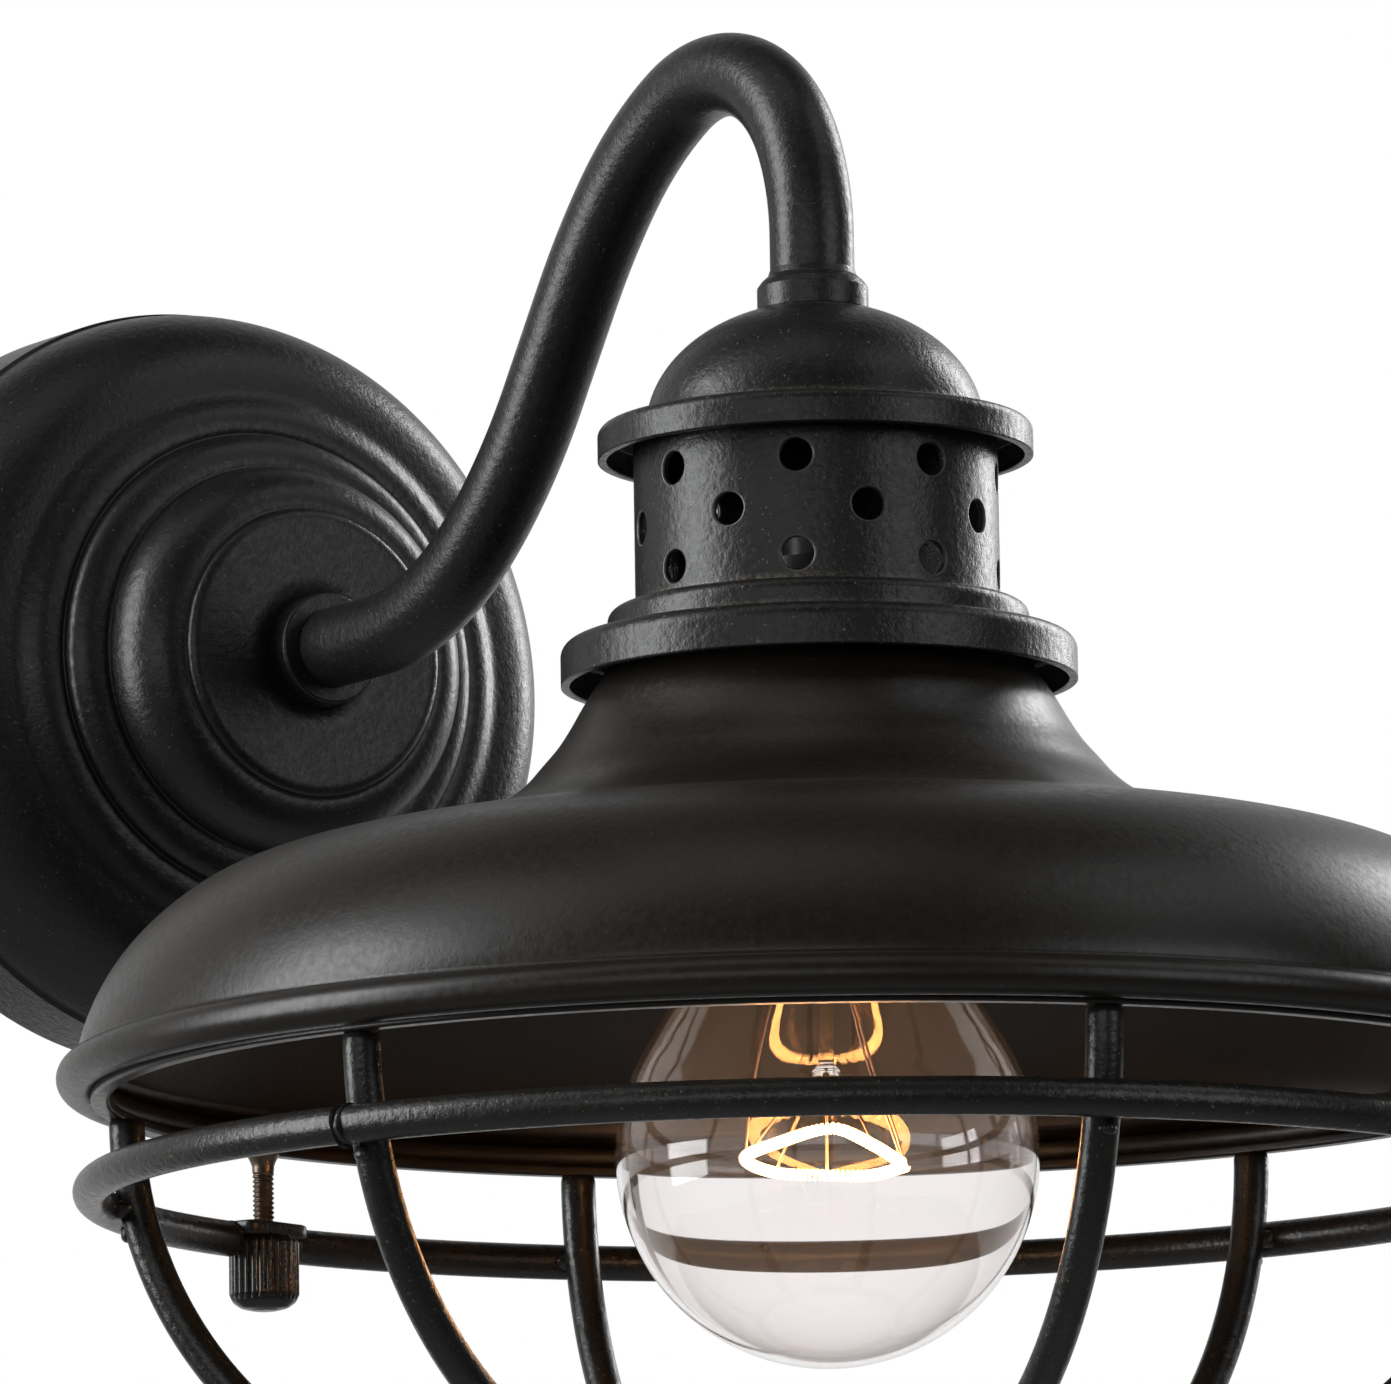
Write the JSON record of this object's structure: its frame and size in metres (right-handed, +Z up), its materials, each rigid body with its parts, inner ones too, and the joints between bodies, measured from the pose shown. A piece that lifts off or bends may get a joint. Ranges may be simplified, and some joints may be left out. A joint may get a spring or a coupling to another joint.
{
  "type": "caged gooseneck wall light",
  "caption": "Black gooseneck wall light with a wide rolled-rim shade, a perforated vent stack, a clear bulb and a wire cage held up by thumb nuts.",
  "frame": {"origin": "centre of the wall plate's back face, on the wall", "axes": "+Z up, +X to the right seen from the room, the light stands out from the wall along -Y, so +Y points into the wall"},
  "size_m": [0.216, 0.294, 0.2221],
  "materials": {
    "black_coat": "satin black powder coat",
    "zinc_steel": "bright zinc plate",
    "zinc_yellow": "yellow zinc plate",
    "stud_steel": "dull, browned thread",
    "nut_metal": "dark satin plate, knurled",
    "green_paint": "green grounding screw",
    "porcelain": "glazed porcelain",
    "brass": "drawn brass",
    "lead_black": "wire covering",
    "lead_white": "wire covering",
    "connector": "moulded",
    "bulb_glass": "clear blown glass",
    "stem_glass": "clear drawn glass",
    "black_glass": "black glass insulator",
    "bulb_base": "plain metal",
    "wire_steel": "drawn wire",
    "filament": "glowing wire"
  },
  "bodies": {
    "fixture": {"wall_plate": "black_coat", "crossbar": "zinc_steel", "side_screws": "black_coat", "ground_screw": "green_paint", "arm_tube": "black_coat", "plate_ferrule": "black_coat", "plate_nipple": "zinc_yellow", "plate_washer": "zinc_steel", "plate_nut": "zinc_steel", "arm_collar": "black_coat", "shade_nipple": "zinc_yellow", "cap": "black_coat", "cap_nut": "zinc_steel", "vent_drum": "black_coat", "neck_skirt": "black_coat", "shade": "black_coat", "rim_band": "black_coat", "studs": "stud_steel", "socket_cap": "zinc_steel", "socket_body": "porcelain", "socket_shell": "brass", "socket_contact": "brass", "socket_screws": "brass", "lead_line": "lead_black", "lead_neutral": "lead_white", "wire_connectors": "connector"},
    "cage": {"cage_ring_a": "black_coat", "cage_ring_b": "black_coat", "cage_lug_1": "black_coat", "cage_lug_2": "black_coat", "rib_1": "black_coat", "rib_2": "black_coat", "rib_3": "black_coat", "rib_4": "black_coat", "rib_5": "black_coat", "rib_6": "black_coat", "cage_hub": "black_coat"},
    "thumb_nut_1": {"thumb_nut_1": "nut_metal"},
    "thumb_nut_2": {"thumb_nut_2": "nut_metal"},
    "bulb": {"bulb_glass": "bulb_glass", "bulb_cap": "bulb_base", "bulb_insulator": "black_glass", "bulb_contact": "bulb_base", "bulb_stem": "stem_glass", "bulb_supports": "wire_steel", "filament": "filament"}
  },
  "joints": [
    {"name": "cage_release", "type": "slide", "parent": "fixture", "child": "cage", "axis": [0, 0, -1], "range_m": [0, 0.075]},
    {"name": "nut_1_turn", "type": "hinge", "parent": "cage", "child": "thumb_nut_1", "pos_m": [-0.03485, -0.09025, -0.0945], "axis": [0, 0, 1], "continuous": true},
    {"name": "nut_2_turn", "type": "hinge", "parent": "cage", "child": "thumb_nut_2", "pos_m": [0.03485, -0.28175, -0.0945], "axis": [0, 0, 1], "continuous": true},
    {"name": "bulb_release", "type": "slide", "parent": "fixture", "child": "bulb", "axis": [0, 0, -1], "range_m": [0, 0.028]}
  ]
}
